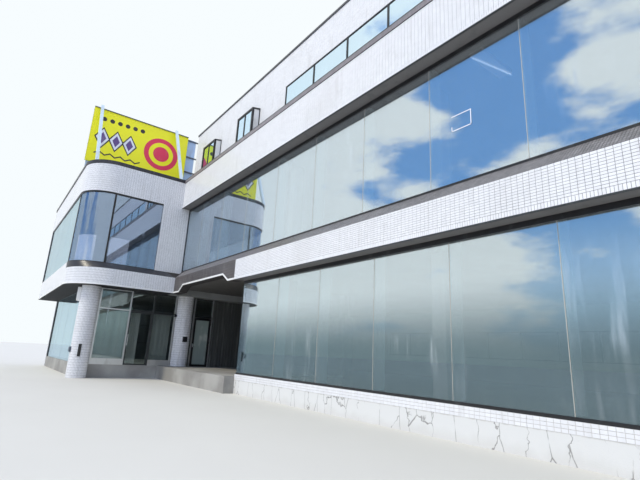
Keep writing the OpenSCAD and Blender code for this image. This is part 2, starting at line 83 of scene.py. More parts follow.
X0 = WING_WALL[0].x
X_WING = WING_WALL[1].x
X1 = UPPER[1].x
X_GLASS_END = THIRD[1].x
X_SHOP = PLINTH[0].x + 0.06
Y_BAND = UPPER[0].y
Y_GLASS = UPPER[1].y
Y_WING = WING_WALL[0].y
BAND_Z = LOWER[0].z
BAND_TOP = LOWER[1].z
SILL_TOP = SILL[1].z
WING_SILL_TOP = BAND_TOP + WING_SILL_H
UPPER_Z = UPPER[0].z
UPPER_TOP = UPPER[1].z
COPING_TOP = COPING[1].z
X_ARC = X_WING - CORNER_R
Y_ARC = Y_WING + CORNER_R
BAND_R = CORNER_R + BAND_OUT


# Materials
class Nodes:
    """Short ways to add nodes to a tree."""

    def __init__(self, tree):
        self.tree = tree

    def set(self, node, socket, value):
        """Sets a socket to a number or colour, or links an output to it."""
        if isinstance(value, bpy.types.NodeSocket):
            self.tree.links.new(value, node.inputs[socket])
        else:
            node.inputs[socket].default_value = value

    def set_all(self, node, values):
        """Sets several sockets of a node."""
        for socket, value in values.items():
            self.set(node, socket, value)

    def add(self, kind, settings=None, **sockets):
        """Adds a node; sockets are named in words joined by underscores, or s0, s1 by place."""
        node = self.tree.nodes.new("ShaderNode" + kind)
        for key, value in (settings or {}).items():
            setattr(node, key, value)
        for key, value in sockets.items():
            by_place = key[0] == "s" and key[1:].isdigit()
            self.set(node, int(key[1:]) if by_place else key.replace("_", " "), value)
        return node

    def ramp(self, value, low, high):
        """A value eased from 0 at low to 1 at high."""
        node = self.add("MapRange", {"interpolation_type": "SMOOTHSTEP"}, Value=value)
        self.set(node, "From Min", low)
        self.set(node, "From Max", high)
        return node.outputs["Result"]

    def math(self, operation, a, b=0.0):
        """The result of a sum or another operation on two values."""
        return self.add("Math", {"operation": operation}, s0=a, s1=b).outputs[0]

    def mix(self, amount, a, b):
        """One colour turned into another by an amount."""
        node = self.add("Mix", {"data_type": "RGBA"}, s0=amount)
        for place, value in ((6, a), (7, b)):
            self.set(node, place, value if isinstance(value, bpy.types.NodeSocket) else (*value, 1))
        return node.outputs[2]

    def scaled(self, amount, top):
        """An amount from 0 to 1 brought down to the range from 0 to top."""
        return self.math("MULTIPLY", amount, top)


class Look(Nodes):
    """A material's node tree round its Principled shader."""

    def __init__(self, name, color, roughness, metallic=0.0):
        self.material = bpy.data.materials.new(name)
        self.material.use_nodes = True
        super().__init__(self.material.node_tree)
        self.shader = self.tree.nodes["Principled BSDF"]
        self.set(self.shader, "Base Color", (*color, 1))
        self.set(self.shader, "Roughness", roughness)
        self.set(self.shader, "Metallic", metallic)

    def place(self, scale=(1, 1, 1)):
        """Object coordinates, stretched."""
        coords = self.add("TexCoord").outputs["Object"]
        return self.add("Mapping", Vector=coords, Scale=scale).outputs[0]

    def noise(self, scale, detail=4.0, stretch=(1, 1, 1)):
        """Noise in object coordinates, about 0.5."""
        node = self.add("TexNoise", Vector=self.place(stretch), Scale=scale, Detail=detail)
        return node.outputs["Fac"]

    def color(self, value):
        """Gives the shader its base colour."""
        self.set(self.shader, "Base Color", value)

    def bump(self, height, distance):
        """Raises the surface by a height from 0 to 1 times a distance."""
        node = self.add("Bump", Height=height, Distance=distance, Strength=1.0)
        self.set(self.shader, "Normal", node.outputs[0])


def stains(look, base, dirt, amount):
    """Rain streaks and soft patches over a base colour."""
    streaks = look.ramp(look.noise(2.2, 6.0, (3.0, 3.0, 0.35)), 0.52, 0.78)
    patches = look.ramp(look.noise(0.7, 5.0), 0.50, 0.75)
    total = look.math("ADD", look.scaled(streaks, amount), look.scaled(patches, amount * 0.5))
    return look.mix(total, base, dirt)


def glazed_tile(name, color, dirt, spread, dirt_amount, roughness):
    """Small glazed tiles, each a little lighter or darker than the next."""
    look = Look(name, color, roughness)
    chance = look.add("NewGeometry").outputs["Random Per Island"]
    darker = tuple(c * (1 - spread) for c in color)
    look.color(stains(look, look.mix(chance, darker, color), dirt, dirt_amount))
    look.bump(look.noise(35.0, 2.0), 0.0006)
    return look.material


def mortar(name, color):
    """The joints between tiles."""
    look = Look(name, color, 0.85)
    darker = tuple(c * 0.6 for c in color)
    look.color(look.mix(look.noise(9.0, 6.0), darker, color))
    look.bump(look.noise(220.0, 2.0), 0.0008)
    return look.material


def tiled_wall(name, color, joint_color, dirt):
    """A wall of 100 x 50 mm tiles in straight joints, for the walls with no tile pieces."""
    look = Look(name, color, 0.25)
    coords = look.add("TexCoord").outputs["Object"]
    place = look.add("SeparateXYZ", Vector=coords)
    facing = look.add("SeparateXYZ", Vector=look.add("NewGeometry").outputs["True Normal"])
    sideways = look.math("GREATER_THAN", look.math("ABSOLUTE", facing.outputs[0]), 0.5)
    along = look.add("Mix", {"data_type": "FLOAT"}, s0=sideways)
    look.set(along, 2, place.outputs[0])
    look.set(along, 3, place.outputs[1])
    spot = look.add("CombineXYZ", X=along.outputs[0], Y=place.outputs[2])
    bricks = look.add("TexBrick", {"offset": 0.0, "squash": 1.0}, Vector=spot.outputs[0])
    darker = tuple(c * 0.93 for c in color)
    sizes = {"Color1": (*color, 1), "Color2": (*darker, 1), "Mortar": (*joint_color, 1),
             "Scale": 1.0, "Mortar Size": 0.003, "Mortar Smooth": 0.2,
             "Brick Width": LYING[1], "Row Height": LYING[0]}
    look.set_all(bricks, sizes)
    look.color(stains(look, bricks.outputs["Color"], dirt, 0.3))
    look.bump(look.math("SUBTRACT", 1.0, bricks.outputs["Fac"]), 0.004)
    return look.material


def painted_render(name, color, crack_color, stain_color):
    """White paint on render, cracked, with brown stains near the foot and the top."""
    look = Look(name, color, 0.7)
    height = look.add("SeparateXYZ", Vector=look.place()).outputs[2]
    drift = look.scaled(look.noise(5.0, 8.0), 0.16)
    wander = look.add("CombineXYZ", X=drift, Y=drift)
    bent = look.add("VectorMath", {"operation": "ADD"}, s0=look.place((1.0, 1.0, 0.22)),
                    s1=wander.outputs[0])
    edges = look.add("TexVoronoi", {"feature": "DISTANCE_TO_EDGE"}, Vector=bent.outputs[0],
                     Scale=2.3)
    crack = look.math("SUBTRACT", 1.0, look.ramp(edges.outputs["Distance"], 0.0, 0.015))
    crack = look.math("MULTIPLY", crack, look.ramp(look.noise(2.5), 0.34, 0.50))
    rough_edge = look.math("MULTIPLY", look.noise(3.0, 8.0, (1, 1, 0.6)), 0.4)
    above_foot = look.ramp(look.math("ADD", height, rough_edge), 0.2, 0.42)
    low_part = look.math("SUBTRACT", 1.0, above_foot)
    high_edge = look.math("ADD", height, look.math("MULTIPLY", look.noise(5.0, 6.0), -0.07))
    high_part = look.ramp(high_edge, 0.36, 0.40)
    marked = look.math("ADD", look.scaled(low_part, 0.12), look.scaled(high_part, 0.45))
    base = look.mix(marked, color, stain_color)
    look.color(look.mix(look.scaled(crack, 0.7), base, crack_color))
    look.bump(look.math("SUBTRACT", look.noise(60.0, 4.0), crack), 0.003)
    return look.material


def concrete(name, color, dark):
    """Trowelled concrete with patches and fine grit."""
    look = Look(name, color, 0.8)
    patches = look.ramp(look.noise(0.9, 8.0), 0.35, 0.7)
    look.color(look.mix(patches, dark, color))
    look.bump(look.noise(150.0, 3.0), 0.0015)
    return look.material


def roof_sheet(name, color, seam):
    """Roofing sheet with lapped seams a metre apart and puddle marks."""
    look = Look(name, color, 0.75)
    bricks = look.add("TexBrick", {"offset": 0.5}, Vector=look.place())
    darker = tuple(c * 0.92 for c in color)
    sizes = {"Color1": (*color, 1), "Color2": (*darker, 1), "Mortar": (*seam, 1), "Scale": 1.0,
             "Mortar Size": 0.012, "Brick Width": 8.0, "Row Height": 1.0}
    look.set_all(bricks, sizes)
    marks = look.ramp(look.noise(0.5, 7.0), 0.5, 0.68)
    look.color(look.mix(look.scaled(marks, 0.45), bricks.outputs["Color"], (0.16, 0.16, 0.15)))
    look.bump(look.math("ADD", bricks.outputs["Fac"], look.noise(90.0, 3.0)), 0.003)
    return look.material


def painted_metal(name, color, wear, roughness, metallic=0.0, wear_amount=0.5):
    """Painted or anodised metal with dust and worn patches."""
    look = Look(name, color, roughness, metallic)
    patches = look.ramp(look.noise(3.5, 8.0, (1, 1, 0.4)), 0.52, 0.72)
    look.color(look.mix(look.scaled(patches, wear_amount), color, wear))
    grain = look.noise(40.0, 3.0)
    look.set(look.shader, "Roughness", look.math("ADD", roughness - 0.06, look.scaled(grain, 0.14)))
    look.bump(grain, 0.0004)
    return look.material


def ribbed_cladding(name, color, dust):
    """Dark ribbed sheet, with dust lying in long runs down it."""
    look = Look(name, color, 0.5)
    runs = look.ramp(look.noise(4.0, 8.0, (1, 2.5, 0.16)), 0.50, 0.78)
    look.color(look.mix(look.scaled(runs, 0.7), color, dust))
    look.bump(look.noise(30.0, 4.0, (1, 1, 0.2)), 0.001)
    return look.material


def clear_glass(name, tint, reflection, alpha, film, painted_reflection_tint=None):
    """Reflecting glass with a thin film of dust and dried rain; given a reflection tint, darker
    towards its foot as a painted reflection of the dark ground.
    """
    look = Look(name, tint, 0.02, 0.96)
    drips = look.ramp(look.noise(3.0, 9.0, (2.5, 2.5, 0.22)), 0.49, 0.78)
    patch = look.ramp(look.noise(0.55, 4.0), 0.50, 0.72)
    dust = look.math("MULTIPLY", drips, patch)
    # Darker towards the foot: painted reflection of the dark ground, not a tint of the glass
    if painted_reflection_tint:
        height = look.add("SeparateXYZ", Vector=look.place()).outputs[2]
        tint = look.mix(look.ramp(height, 1.4, 2.9), painted_reflection_tint, tint)
    look.color(look.mix(look.scaled(dust, film), tint, (0.75, 0.80, 0.84)))
    look.set(look.shader, "Specular Tint", (*reflection, 1))
    look.set(look.shader, "Roughness", look.math("ADD", 0.015, look.scaled(dust, 0.25)))
    look.set(look.shader, "Alpha", look.math("ADD", alpha, look.scaled(dust, 0.35)))
    return look.material


def lit_glass(name, color, alpha):
    """Thick glass made pale and diffuse: partly its own cyan tint, partly painted light that it
    catches from its side.
    """
    look = Look(name, color, 0.15)
    look.color(look.mix(look.noise(1.5, 4.0), tuple(c * 0.85 for c in color), color))
    look.set(look.shader, "Alpha", alpha)
    return look.material


def blind_slats(name, color):
    """Pale stiff slats with a fine woven surface."""
    look = Look(name, color, 0.9)
    weave = look.noise(300.0, 2.0, (1, 1, 3))
    darker = tuple(c * 0.8 for c in color)
    look.color(look.mix(look.noise(2.0, 6.0, (1, 1, 0.3)), darker, color))
    look.bump(weave, 0.0004)
    return look.material


def lamp_tube(name, color, glow):
    """A tube that glows."""
    look = Look(name, color, 0.4)
    look.set(look.shader, "Emission Color", (*color, 1))
    look.set(look.shader, "Emission Strength", glow)
    return look.material


WHITE = (0.84, 0.84, 0.85)
WHITE_DIRT = (0.47, 0.45, 0.42)
BROWN = (0.115, 0.102, 0.100)
white_tiles = glazed_tile("white_tiles", WHITE, WHITE_DIRT, 0.07, 0.25, 0.22)
column_tiles = glazed_tile("column_tiles", WHITE, WHITE_DIRT, 0.09, 0.5, 0.25)
coping_brown = glazed_tile("coping_brown", (0.27, 0.245, 0.255), (0.36, 0.34, 0.34), 0.2, 0.5,
                           0.35)
brown_tiles = glazed_tile("brown_tiles", BROWN, (0.24, 0.22, 0.21), 0.3, 0.5, 0.35)
sill_brown = glazed_tile("sill_brown", (0.20, 0.185, 0.190), (0.30, 0.28, 0.28), 0.3, 0.5, 0.35)
white_joints = mortar("white_joints", (0.27, 0.27, 0.28))
brown_joints = mortar("brown_joints", (0.05, 0.045, 0.045))
# Painted shade: the wing's sill and coping tiles are darker copies of the main block's brown sill
# and coping, darkened because the wing's side lies in shade
shade_darkened_tiles = glazed_tile("shade_darkened_tiles", (0.040, 0.040, 0.050), (0.10, 0.10, 0.11), 0.3, 0.4, 0.35)
wall_tiles = tiled_wall("wall_tiles", WHITE, (0.30, 0.30, 0.31), WHITE_DIRT)
plinth_paint = painted_render("plinth_paint", (0.72, 0.72, 0.70), (0.10, 0.09, 0.08),
                              (0.22, 0.18, 0.12))
floor_concrete = concrete("floor_concrete", (0.40, 0.39, 0.36), (0.27, 0.26, 0.24))
pale_plaster = concrete("pale_plaster", (0.62, 0.62, 0.60), (0.52, 0.52, 0.50))
# Painted shade: darker copies of the pale plaster and floor concrete, so the rooms behind the glass
# read dim
interior_plaster_shaded = concrete("interior_plaster_shaded", (0.34, 0.35, 0.35), (0.26, 0.27, 0.27))
interior_floor_shaded = concrete("interior_floor_shaded", (0.20, 0.21, 0.20), (0.15, 0.15, 0.15))
roofing = roof_sheet("roofing", (0.34, 0.35, 0.35), (0.20, 0.20, 0.20))
soffit_paint = painted_metal("soffit_paint", (0.105, 0.100, 0.095), (0.17, 0.16, 0.15), 0.6)
# Painted shade: a grey-brown sheet under the white bands, standing for the shade on their
# undersides
painted_shade_soffit = painted_metal("painted_shade_soffit", (0.17, 0.162, 0.160), (0.11, 0.11, 0.11), 0.7)
dark_paint = painted_metal("dark_paint", (0.055, 0.055, 0.060), (0.12, 0.12, 0.12), 0.5)
white_paint = painted_metal("white_paint", (0.82, 0.82, 0.80), (0.50, 0.48, 0.44), 0.45)
black_metal = painted_metal("black_metal", (0.010, 0.010, 0.012), (0.05, 0.05, 0.05), 0.35)
dull_metal = painted_metal("dull_metal", (0.030, 0.034, 0.036), (0.08, 0.08, 0.08), 0.4)
silver_metal = painted_metal("silver_metal", (0.62, 0.63, 0.64), (0.40, 0.40, 0.39), 0.38, 0.85)
cladding = ribbed_cladding("cladding", (0.085, 0.090, 0.086), (0.24, 0.24, 0.22))
black_soffit = painted_metal("black_soffit", (0.016, 0.016, 0.018), (0.035, 0.035, 0.035), 0.9)
blue_steel = painted_metal("blue_steel", (0.46, 0.60, 0.78), (0.25, 0.18, 0.13), 0.45,
                           wear_amount=0.25)
pale_steel = painted_metal("pale_steel", (0.62, 0.74, 0.82), (0.35, 0.24, 0.17), 0.45,
                           wear_amount=0.3)
grey_steel = painted_metal("grey_steel", (0.10, 0.12, 0.15), (0.20, 0.12, 0.07), 0.5)
high_glass = clear_glass("high_glass", (0.90, 0.97, 1.0), (0.7, 0.85, 1.0), 0.56, 0.5)
# The ground-floor glass is darker towards its foot: painted reflection
low_glass = clear_glass("low_glass", (0.90, 0.98, 1.0), (0.8, 0.95, 1.0), 0.50, 0.9,
                        painted_reflection_tint=(0.24, 0.33, 0.36))
window_glass = clear_glass("window_glass", (0.78, 0.92, 1.0), (0.7, 0.85, 1.0), 0.94, 0.3)
wing_blue_glass = clear_glass("wing_blue_glass", (0.50, 0.62, 0.80), (0.7, 0.85, 1.0), 0.36, 0.5)
# Painted reflection: the wing's front panes are the same glass as its side panes, made paler where
# they reflect bright sky
wing_painted_reflection_glass = clear_glass("wing_painted_reflection_glass", (0.86, 0.96, 1.0), (0.8, 0.95, 1.0), 0.66, 0.7)
grey_glass = clear_glass("grey_glass", (0.40, 0.48, 0.46), (0.9, 1.0, 1.0), 0.28, 0.8)
# Fin glass and its edge strips: partly the glass's own cyan, partly a painted highlight where the
# edges catch the light
fin_glass = lit_glass("fin_glass", (0.80, 1.0, 1.0), 0.92)
glass_edge_highlight = painted_metal("glass_edge_highlight", (0.80, 0.95, 0.95), (0.7, 0.85, 0.85), 0.2)
frosted = painted_metal("frosted", (0.30, 0.36, 0.33), (0.55, 0.60, 0.54), 0.5, wear_amount=0.9)
blind_cloth = blind_slats("blind_cloth", (0.66, 0.74, 0.68))
tube_light = lamp_tube("tube_light", (0.9, 0.95, 1.0), 0.8)
sign_yellow = painted_metal("sign_yellow", (1.0, 0.93, 0.008), (0.86, 0.80, 0.08), 0.4,
                            wear_amount=0.25)
sign_red = painted_metal("sign_red", (0.80, 0.035, 0.10), (0.70, 0.15, 0.15), 0.4)
sign_dark = painted_metal("sign_dark", (0.035, 0.030, 0.030), (0.10, 0.10, 0.08), 0.4)
sign_purple = painted_metal("sign_purple", (0.13, 0.07, 0.24), (0.25, 0.20, 0.30), 0.4)
sign_white = painted_metal("sign_white", (0.85, 0.85, 0.88), (0.70, 0.70, 0.70), 0.4)
seal_rubber = painted_metal("seal_rubber", (0.45, 0.43, 0.38), (0.20, 0.19, 0.17), 0.6)

NODE_LOOKS = {
    floor_concrete: ["entrance_floor", "wing_floor"],
    # The insides take the darkened copies: painted shade
    interior_floor_shaded: ["ground_floor"],
    interior_plaster_shaded: ["second_floor", "wing_second_floor", "third_floor"],
    pale_plaster: ["interior_columns"],
    plinth_paint: ["main_plinth"],
    roofing: ["roof_slabs"],
    dark_paint: ["roof_coping"],
    soffit_paint: ["entrance_ceiling"],
    white_joints: ["wing_band", "wing_upper_wall", "tiled_columns"],
    white_paint: ["band_trim"],
    brown_joints: ["entrance_spandrel", "sloped_sill", "coping"],
    black_metal: ["glass_frames", "bay_windows", "ribbon_frames", "wing_window_frames"],
    low_glass: ["ground_glass"],
    high_glass: ["upper_glass"],
    grey_glass: ["shopfront_glass"],
    fin_glass: ["glass_fins"],
    cladding: ["recess_wall", "recess_back_wall"],
    blue_steel: ["sign_backing"],
    sign_yellow: ["sign_board"],
}


def dress(name, material):
    """Puts one material on a node."""
    slots = nodes[name].data.materials
    slots.clear()
    slots.append(material)


for material, names in NODE_LOOKS.items():
    for name in names:
        dress(name, material)


def dress_parts(name, materials, choose):
    """Gives each face of a node the material that choose picks for it by number."""
    mesh = nodes[name].data
    mesh.materials.clear()
    for material in materials:
        mesh.materials.append(material)
    for face in mesh.polygons:
        face.material_index = choose(face)


BOARD = low_high("sign_board")
BRACE_X = BOARD[1].x + 0.052
dress_parts("sign_frame", [grey_steel, pale_steel], lambda face: int(face.center.x > BRACE_X))

RAIL_Z = 2.7
DOOR_BAY = (Y_ARC + 1.45, Y_ARC + 3.38)
DOOR_POST = (Y_ARC + 2.40, Y_ARC + 2.50)
SIDE_BAY_Y = Y_ARC + 4.42


def shopfront_part(face):
    """Silver for the posts and the first bay's rails, dark for the other rails and side door."""
    y, z = face.center.y, face.center.z
    rails = z > RAIL_Z and (DOOR_BAY[0] < y < DOOR_BAY[1] or y > SIDE_BAY_Y)
    return int(rails or DOOR_POST[0] < y < DOOR_POST[1])


dress_parts("shopfront_frames", [silver_metal, dull_metal], shopfront_part)

BAY_PANELS_X = (X_WING + 1, X_WING + 7)
BAY_PANEL_Y = Y_GLASS - 0.26
BACK_PANES_Y = Y_GLASS + 8
END_PANE_DEPTH = 0.3


def window_part(face):
    """White for the panels in the sides of the bay windows, dark for the rear panes' inside."""
    spot, normal = face.center, face.normal
    in_bay = BAY_PANELS_X[0] < spot.x < BAY_PANELS_X[1] and spot.z > COPING_TOP
    if in_bay and spot.y < Y_GLASS - 0.03:
        return int(spot.y > BAY_PANEL_Y)
    inside = normal.y < -0.5 and spot.y > BACK_PANES_Y
    inside = inside or (normal.x < -0.5 and spot.x > X1 - END_PANE_DEPTH)
    inside = inside or (normal.x > 0.5 and spot.x < X0 + END_PANE_DEPTH)
    return 2 if inside else 0


dress_parts("ribbon_glass", [window_glass, white_paint, interior_plaster_shaded], window_part)
# The flat front panes take the paler glass, a painted reflection
dress_parts("wing_glass", [wing_blue_glass, wing_painted_reflection_glass],
            lambda face: int(face.normal.y < -0.9 and face.center.x < X_ARC))


def facing(axis, sense):
    """Picks 1 for a face that looks along an axis (0 for X, 1 for Y) in a sense, or else 0."""
    return lambda face: int(face.normal[axis] * sense > 0.5)


# The walls' inner faces take the darkened plaster: painted shade
for name, outer, axis, sense in (("main_back_wall", wall_tiles, 1, -1),
                                 ("main_end_wall", wall_tiles, 0, -1),
                                 ("left_end_wall", wall_tiles, 0, 1),
                                 ("wing_back_wall", wall_tiles, 1, -1),
                                 ("wing_left_wall", wall_tiles, 0, 1),
                                 ("wing_side_wall", white_joints, 0, -1),
                                 ("third_front_wall", white_joints, 1, 1)):
    dress_parts(name, [outer, interior_plaster_shaded], facing(axis, sense))
for name in ("lower_band", "upper_band"):
    dress_parts(name, [white_joints, wall_tiles], facing(0, 1))


# Pieces
def piece(name, points, faces, material, body=BODY):
    """A mesh that rides on a body."""
    mesh = bpy.data.meshes.new(name)
    mesh.from_pydata([tuple(p) for p in points], [], [tuple(f) for f in faces])
    mesh.materials.append(material)
    made = bpy.data.objects.new(name, mesh)
    bpy.context.scene.collection.objects.link(made)
    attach(made, body)
    return made


BOX_FACES = ((0, 3, 2, 1), (4, 5, 6, 7), (0, 1, 5, 4), (1, 2, 6, 5), (2, 3, 7, 6), (3, 0, 4, 7))


def boxes(name, corners, material, body=BODY, bevel=0.003):
    """Blocks between pairs of corners, joined in one piece, with eased edges."""
    points, faces = [], []
    for a, b in corners:
        first = len(points)
        for z in (a[2], b[2]):
            points += [(a[0], a[1], z), (b[0], a[1], z), (b[0], b[1], z), (a[0], b[1], z)]
        faces += [[first + i for i in face] for face in BOX_FACES]
    made = piece(name, points, faces, material, body)
    if bevel:
        edge = made.modifiers.new("eased edges", "BEVEL")
        edge.width = bevel
        edge.segments = 1
    return made


# Tiles
def outside(rect, hole):
    """The parts of a rectangle (u0, u1, v0, v1) that lie outside a hole."""
    u0, u1, v0, v1 = rect
    a0, a1, b0, b1 = hole
    if u1 <= a0 or u0 >= a1 or v1 <= b0 or v0 >= b1:
        return [rect]
    mid0, mid1 = max(v0, b0), min(v1, b1)
    return [(u0, u1, v0, b0), (u0, u1, b1, v1), (u0, a0, mid0, mid1), (a1, u1, mid0, mid1)]


def courses(v0, v1, tile):
    """Rows of tiles of a height and width from one level to another, as (low, high, width)."""
    height, width = tile
    count = max(1, round((v1 - v0) / height))
    step = (v1 - v0) / count
    return [(v0 + i * step, v0 + (i + 1) * step, width) for i in range(count)]


def laid_out(u0, u1, rows, holes=()):
    """The tiles' rectangles, with what lies in a hole cut away."""
    rects = []
    for v0, v1, width in rows:
        count = max(1, round((u1 - u0) / width))
        step = (u1 - u0) / count
        for i in range(count):
            parts = [(u0 + i * step, u0 + (i + 1) * step, v0, v1)]
            for hole in holes:
                parts = [p for part in parts for p in outside(part, hole)]
            rects += [p for p in parts if min(p[1] - p[0], p[3] - p[2]) > LEAST_PART]
    return rects


def flat(origin, along, up=(0, 0, 1)):
    """Places tiles on a plane; the way along turned to the way up gives the outside."""
    origin, along, up = (np.array(v, dtype=float) for v in (origin, along, up))
    out = np.cross(along, up)

    def place(u, v, lift):
        return origin + u[:, None] * along + v[:, None] * up + lift * out

    return place


def round_wing(radius, y_centre):
    """Places tiles along the wing's front, round its corner and back along its side."""
    front = X_ARC - X0
    corner = radius * math.pi / 2

    def place(u, v, lift):
        reach = radius + lift
        turn = np.clip((u - front) / radius, 0, math.pi / 2)
        before = np.minimum(u - front, 0)
        after = np.maximum(u - front - corner, 0)
        x = X_ARC + before + reach * np.sin(turn)
        y = y_centre - reach * np.cos(turn) + after
        return np.stack([x, y, v], axis=1)

    return place, front, front + corner


def wing_sill(u, v, lift):
    """Places tiles on the wing's sill, upright at the corner's start and sloped on the side.

    The way up goes from 0 at the band to 1 at the foot of the glass.
    """
    rise = WING_SILL_TOP - BAND_TOP
    turn = np.clip(u / BAND_R, 0, math.pi / 2)
    after = np.maximum(u - BAND_R * math.pi / 2, 0)
    radius = BAND_R - BAND_OUT * v
    run = BAND_OUT * (1 - np.cos(turn))
    length = np.hypot(run, rise)
    reach = radius + lift * rise / length
    x = X_ARC + reach * np.sin(turn)
    y = Y_WING + radius - reach * np.cos(turn) + after
    return np.stack([x, y, BAND_TOP + v * rise + lift * run / length], axis=1)


def round_column(centre, radius):
    """Places tiles on an upright cylinder."""

    def place(u, v, lift):
        turn = u / radius
        reach = radius + lift
        x = centre[0] + reach * np.cos(turn)
        y = centre[1] + reach * np.sin(turn)
        return np.stack([x, y, v], axis=1)

    return place


def tiles(name, sheets, material):
    """One piece of tiles from pairs of a placing and its rectangles."""
    points, faces, count = [], [], 0
    quads = np.array(BOX_FACES[1:])
    tile_points = 8
    for place, rects in sheets:
        corners = []
        for inset, lift in ((JOINT / 2, 0.0), (JOINT / 2 + TILE_EDGE, TILE_LIFT)):
            u0, u1, v0, v1 = np.array(rects).T + np.array([[inset], [-inset], [inset], [-inset]])
            corners += [place(u, v, lift) for u, v in ((u0, v0), (u1, v0), (u1, v1), (u0, v1))]
        first = count + tile_points * np.arange(len(rects))[:, None, None]
        points.append(np.stack(corners, axis=1).reshape(-1, 3))
        faces.append((first + quads[None]).reshape(-1, 4))
        count += tile_points * len(rects)
    return piece(name, np.concatenate(points).tolist(), np.concatenate(faces).tolist(), material)


def facade(x0, x1, y, rows, holes=()):
    """Tiles on a wall that faces -Y."""
    return flat((0, y, 0), (1, 0, 0)), laid_out(x0, x1, rows, holes)


def side(y0, y1, x, rows):
    """Tiles on a wall that faces +X."""
    return flat((x, 0, 0), (0, 1, 0)), laid_out(y0, y1, rows)


def wing_sheets(radius, y_centre, y_end, rows, corner_rows, front_rows):
    """Tiles round the wing, the front and the corner with their own rows."""
    place, u_corner, u_side = round_wing(radius, y_centre)
    length = u_side + y_end - y_centre
    return [(place, laid_out(0, u_corner, front_rows)),
            (place, laid_out(u_corner, u_side, corner_rows)),
            (place, laid_out(u_side, length, rows))]


def band_courses(foot, top):
    """One row of standing tiles under rows of lying ones."""
    return courses(foot, foot + STANDING[0], STANDING) + courses(foot + STANDING[0], top, LYING)


lower_rows = band_courses(BAND_Z, BAND_TOP)
tiles("lower_band_tiles", [facade(LOWER[0].x, X1, Y_BAND, lower_rows)], white_tiles)

upper_rows = band_courses(UPPER_Z, UPPER_TOP)
tiles("upper_band_tiles", [facade(X_WING, X1, Y_BAND, upper_rows)], white_tiles)

BAND_FOOT = BAND_Z + 0.06
band_rows = courses(BAND_FOOT, BAND_TOP, LYING)
band_corner_rows = courses(BAND_FOOT, BAND_TOP, STANDING)
band_front_rows = courses(BAND_FOOT, WING_SILL_TOP, LYING)
tiles("wing_band_tiles", wing_sheets(BAND_R, Y_WING + BAND_R, Y_BAND, band_rows, band_corner_rows,
                                     band_front_rows), white_tiles)

wall_rows = courses(WING_WALL[0].z, WING_WALL[1].z, LYING)
wall_corner_rows = courses(WING_WALL[0].z, WING_WALL[1].z, STANDING)
tiles("wing_wall_tiles", wing_sheets(CORNER_R, Y_ARC, Y_BAND, wall_rows, wall_corner_rows,
                                     wall_rows), white_tiles)

WING_SIDE = low_high("wing_side_wall")
side_rows = courses(SILL_TOP, UPPER_Z, LYING)
wing_side_rows = courses(WING_SILL_TOP, UPPER_Z, LYING)
pier_rows = courses(PLINTH[1].z, BAND_Z, LYING)
tiles("side_wall_tiles", [side(WING_SIDE[0].y, WING_SIDE[1].y, X_WING, wing_side_rows),
                          facade(X_GLASS_END, X1, Y_GLASS, side_rows),
                          facade(X_GLASS_END, X1, Y_GLASS, pier_rows),
                          facade(X0, X0 + LEFT_PIER_W, Y_WING, wing_side_rows)],
      white_tiles)

RIBBON_X0 = X_WING + 8.06
RIBBON_PANES = 7
RIBBON_PANE_W = 1.62
RIBBON_X1 = RIBBON_X0 + RIBBON_PANES * RIBBON_PANE_W
RIBBON_Z = COPING_TOP + 0.06
RIBBON_H = 1.13
BAYS = [X_WING + 1.71, X_WING + 5.08]
BAY_W = 1.22
BAY_H = 1.15
third_rows = courses(COPING_TOP, THIRD[1].z, LYING)
third_holes = [(RIBBON_X0, RIBBON_X1, RIBBON_Z, RIBBON_Z + RIBBON_H)]
third_holes += [(x, x + BAY_W, COPING_TOP - 0.1, COPING_TOP + BAY_H) for x in BAYS]
tiles("third_floor_tiles", [facade(X_WING, X1, Y_GLASS, third_rows, third_holes)], white_tiles)

COLUMN_R = 0.36
COLUMN_X = X_WING - 0.55
COLUMNS = [(Y_WING + 0.99, 0.0), (Y_GLASS + 0.59, FLOOR_Z)]
column_sheets = []
for y, z in COLUMNS:
    column_rows = courses(z, BAND_Z, STANDING)
    column_sheets.append((round_column((COLUMN_X, y), COLUMN_R),
                          laid_out(0, 2 * math.pi * COLUMN_R, column_rows)))
tiles("column_tile_pieces", column_sheets, column_tiles)

plinth_rows = courses(PLINTH[1].z - PLINTH_TILES, PLINTH[1].z, (0.06, 0.1))
tiles("plinth_tiles", [facade(PLINTH[0].x, X1, PLINTH[0].y, plinth_rows)], white_tiles)

SLOPE_W = BAND_OUT
SLOPE_H = SILL_TOP - BAND_TOP
SLOPE_L = math.hypot(SLOPE_W, SLOPE_H)
slope_rows = courses(0.0, SLOPE_L, STANDING)
slope_up = (0, SLOPE_W / SLOPE_L, SLOPE_H / SLOPE_L)
main_slope = flat((0, Y_BAND, BAND_TOP), (1, 0, 0), slope_up)
tiles("sill_tiles", [(main_slope, laid_out(X_WING + BAND_OUT, X1, slope_rows))], sill_brown)
wing_sill_length = BAND_R * math.pi / 2 + Y_BAND - Y_WING - BAND_R
wing_sill_rows = courses(0, 1, (0.25, STANDING[1]))
# The wing's sill takes the darkened tiles: painted shade
tiles("wing_sill_tiles", [(wing_sill, laid_out(0, wing_sill_length, wing_sill_rows))], shade_darkened_tiles)

COPING_OUT = 0.02
coping_rows = courses(UPPER_TOP, COPING_TOP, (0.16, STANDING[1]))
tiles("coping_tiles", [facade(X_WING + COPING_OUT, X1, Y_BAND - COPING_OUT, coping_rows)],
      coping_brown)
# The wing's coping takes the darkened tiles too: painted shade
tiles("wing_coping_tiles", wing_sheets(CORNER_R + COPING_OUT, Y_ARC, Y_BAND - COPING_OUT,
                                       coping_rows, coping_rows, coping_rows), shade_darkened_tiles)

